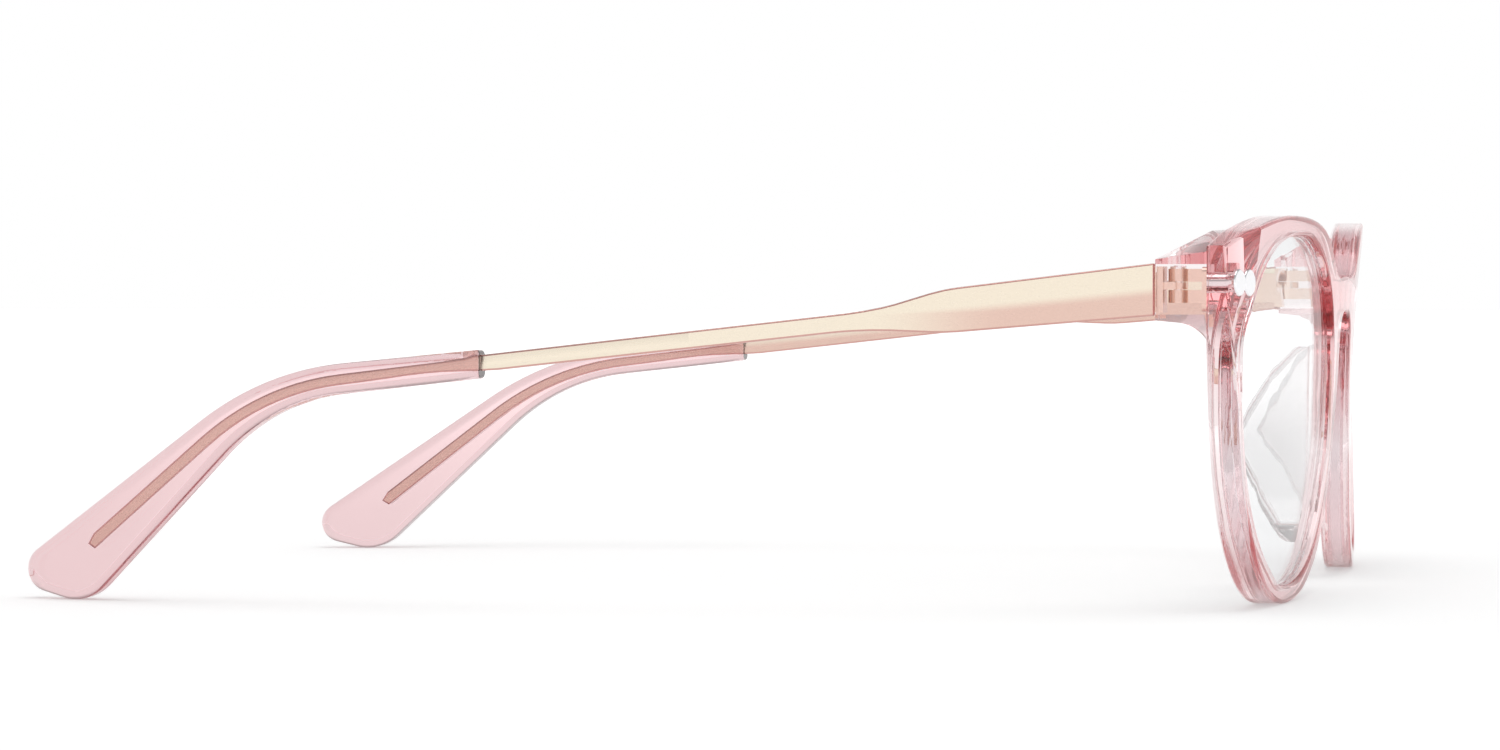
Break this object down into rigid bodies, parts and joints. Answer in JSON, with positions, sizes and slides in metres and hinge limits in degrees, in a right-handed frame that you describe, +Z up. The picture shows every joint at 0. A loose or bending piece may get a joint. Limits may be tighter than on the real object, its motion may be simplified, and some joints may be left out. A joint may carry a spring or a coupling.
{
  "type": "blue light glasses",
  "caption": "Round-lens acetate glasses with clear lenses, nose pads, flat metal temples that fold on hinges, and curved acetate temple tips.",
  "frame": {"origin": "centre of the bounding box in plan, at its lowest level, where the rims and the temple tips rest", "axes": "+Z up, the front faces -Y, the temples run back along +Y, +X is the wearer's left; X = 0 is the mirror plane"},
  "size_m": [0.1402, 0.1447, 0.0435],
  "materials": {
    "pink_acetate": "polished translucent pink acetate",
    "clear_lens": "clear coated plastic lens",
    "clear_pad": "polished clear acetate",
    "silver_stud": "polished silver",
    "rose_metal": "rose-gold plated hinge metal",
    "rose_gold_temple": "polished light rose gold",
    "tip_acetate": "polished pink acetate"
  },
  "bodies": {
    "front": {"front_frame": "pink_acetate", "lens_right": "clear_lens", "lens_left": "clear_lens", "nose_pad_right": "clear_pad", "nose_pad_left": "clear_pad", "stud_right": "silver_stud", "stud_left": "silver_stud", "hinge_front_leaf_right": "rose_metal", "hinge_front_leaf_left": "rose_metal", "hinge_screw_right": "silver_stud", "hinge_screw_left": "silver_stud"},
    "temple_right": {"temple_right": "rose_gold_temple", "temple_tip_right": "tip_acetate", "hinge_temple_leaf_right": "rose_metal"},
    "temple_left": {"temple_left": "rose_gold_temple", "temple_tip_left": "tip_acetate", "hinge_temple_leaf_left": "rose_metal"}
  },
  "joints": [
    {"name": "temple_right_hinge", "type": "hinge", "parent": "front", "child": "temple_right", "pos_m": [-0.0585, -0.05958, 0.03565], "axis": [0, 0, -1], "range_deg": [0, 84]},
    {"name": "temple_left_hinge", "type": "hinge", "parent": "front", "child": "temple_left", "pos_m": [0.0585, -0.05958, 0.03565], "axis": [0, 0, 1], "range_deg": [0, 90]}
  ]
}
